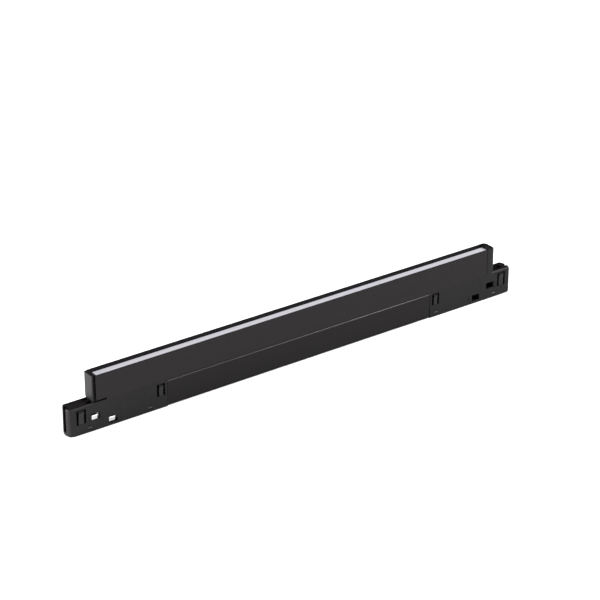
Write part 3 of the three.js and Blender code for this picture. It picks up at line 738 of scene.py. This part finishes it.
def make_package(node, leads):
    """A moulded package with draft on its sides, a pin mark and bent leads on both sides."""
    low, high = node_box(node)
    body_half = (high.y - low.y) / 2 - 0.7
    middle = (low.z + high.z) / 2 + 0.1
    bm = bmesh.new()
    draft = 0.18
    add_prism(bm, [
        (-body_half + draft, low.z + 0.15), (body_half - draft, low.z + 0.15), (body_half, middle),
        (body_half - draft, high.z), (-body_half + draft, high.z), (-body_half, middle)], low.x, high.x)
    bmesh.ops.recalc_face_normals(bm, faces=bm.faces)
    round_edges(bm, EDGE_SMALL)
    pin_mark = [(0.35, 0), (0.35, 0.02), (0.25, 0.04)]
    corner = Vector((low.x + 0.8, -body_half + 0.9, high.z - 0.02))
    add_turned(bm, pin_mark, corner, UP, material=1, steps=16)
    length = high.x - low.x
    for side in (-1, 1):
        for i in range(leads):
            x = low.x + length * (i + 0.5) / leads
            y = [side * (body_half + offset) for offset in (-0.3, 0.3, 0.45, 0.7)]
            add_prism(bm, [
                (y[0], middle - 0.08), (y[1], middle - 0.08), (y[2], low.z + 0.02), (y[3], low.z + 0.02),
                (y[3], low.z + 0.18), (y[2] + side * 0.08, low.z + 0.18), (y[1] + side * 0.1, middle + 0.08),
                (y[0], middle + 0.08)], x - 0.2, x + 0.2, material=1)
    finish_piece(bm, f"{node}_package", "component_black", "body", node, extra=[TINNED])


def make_capacitor(node):
    """A lying electrolytic capacitor: printed sleeve, rolled groove, bare top and rubber seal."""
    low, high = node_box(node)
    radius = (high.z - low.z) / 2
    axis = Vector((1, 0, 0))
    start = Vector((low.x, 0, low.z + radius))
    length = high.x - low.x
    bm = bmesh.new()
    add_turned(bm, [
        (radius * 0.8, 0.05), (radius * 0.9, 0.0), (radius, 0.25), (radius, 0.9), (radius - 0.32, 1.2),
        (radius - 0.32, 1.6), (radius, 1.95), (radius, length - 0.3), (radius - 0.25, length - 0.02),
        (radius * 0.75, length - 0.02)], start, axis)
    add_turned(bm, [(radius * 0.76, 0), (radius * 0.76, 0.12), (radius * 0.7, 0.16)],
               start + axis * (length - 0.16), axis, material=1)
    add_turned(bm, [(radius * 0.72, 0), (radius * 0.72, 0.12), (radius * 0.6, 0.2)],
               start + axis * 0.12, -axis, material=2)
    for y in (-0.5, 0.5):
        add_box(bm, low.x + 0.5, high.x - 0.6, y - 0.14, y + 0.14, high.z - 0.06, high.z - 0.02, 1)
    finish_piece(bm, f"{node}_can", "capacitor_sleeve", "body", node, extra=[ALUMINIUM_BARE, RUBBER])


def make_choke(node):
    """A drum core with one layer of its copper winding showing."""
    low, high = node_box(node)
    radius = (high.x - low.x) / 2
    centre = Vector(((low.x + high.x) / 2, 0, low.z))
    height = high.z - low.z
    bm = bmesh.new()
    drum = [(radius - 0.15, 0), (radius, 0.15), (radius, 1.2), (radius - 0.15, 1.35), (1.2, 1.35)]
    drum += [(r, height - z) for r, z in reversed(drum)]
    add_turned(bm, drum, centre, UP, steps=36)
    turns = 13
    wire = (height - 2.8) / turns
    profile = [(1.1, 1.4)]
    for i in range(turns):
        for step in range(5):
            angle = math.pi * (step + 0.5) / 5
            profile.append((2.05 + 0.2 * math.sin(angle), 1.4 + wire * (i + 0.5 - 0.5 * math.cos(angle))))
    profile.append((1.1, height - 1.4))
    add_turned(bm, profile, centre, UP, material=1, steps=36)
    finish_piece(bm, f"{node}_coil", "ferrite_grey", "body", node, extra=[COPPER_WIRE])


def make_terminal(node):
    """A two-way spring terminal with release buttons on top."""
    low, high = node_box(node)
    bm = cad_mesh(node)
    round_edges(bm, EDGE_SMALL)
    middle = (low.x + high.x) / 2
    for y in (-1.45, 1.45):
        add_rounded_box(
            bm, middle - 1.6, middle + 1.6, y - 0.7, y + 0.7, high.z - 0.1, high.z - 0.001, 0.04, 1)
    finish_piece(bm, f"{node}_block", "terminal_white", "body", node, extra=[BUTTON_ORANGE])


def make_driver_board():
    low, high = node_box("driver_board")
    bm = bmesh.new()
    add_rounded_box(bm, low.x, high.x, low.y, high.y, low.z, high.z, 0.08)
    finish_piece(bm, "driver_board_mask", "board_green", "body", "driver_board")
    pads = bmesh.new()
    joint = [(0.32, 0), (0.3, 0.06), (0.12, 0.14)]
    for x in range(-84, 85, 6):
        for y in (-2.6, 2.6):
            add_turned(pads, joint, Vector((x, y, low.z + 0.02)), DOWN, steps=12)
    finish_piece(pads, "driver_board_solder", "contact_silver", "body")


def make_wire(node):
    bm = cad_mesh(node)
    bmesh.ops.recalc_face_normals(bm, faces=bm.faces)
    piece = finish_piece(bm, f"{node}_lead", SLOT_OF[node], "body", node)
    rounder = piece.modifiers.new("round", "SUBSURF")
    rounder.levels = 1
    rounder.render_levels = 1


make_light_bar()
make_end_cap("left")
make_end_cap("right")
make_diffuser()
make_led_board()
for hand in ("left", "right"):
    make_housing(hand)
    make_cover(hand)
    for position in ("outer", "inner"):
        make_screw(f"adapter_screw_{hand}_{position}")
        for face_side in ("front", "back"):
            make_latch(f"latch_{hand}_{position}_{face_side}")
for level in ("upper", "lower"):
    make_contact(level)
make_polarity_marks()
make_channel()
make_package("bridge_rectifier", 2)
make_package("driver_chip", 4)
make_package("switching_transistor", 3)
make_package("freewheel_diode", 1)
for name in ("input_capacitor", "output_capacitor"):
    make_capacitor(name)
for name in ("filter_choke", "output_choke"):
    make_choke(name)
make_terminal("input_terminal")
make_terminal("output_terminal")
make_driver_board()
for name in ("supply_wire_upper", "supply_wire_lower", "led_wire_plus", "led_wire_minus"):
    make_wire(name)
carried_piece("contact_carrier", "contact_block", None, 0.12)
carried_piece("thermal_tape", "heat_tape")
carried_piece("insulating_liner", "liner_film", None, 0.05)
carried_piece("board_spacer_left", "spacer_left", None, 0.15)
carried_piece("board_spacer_right", "spacer_right", None, 0.15)
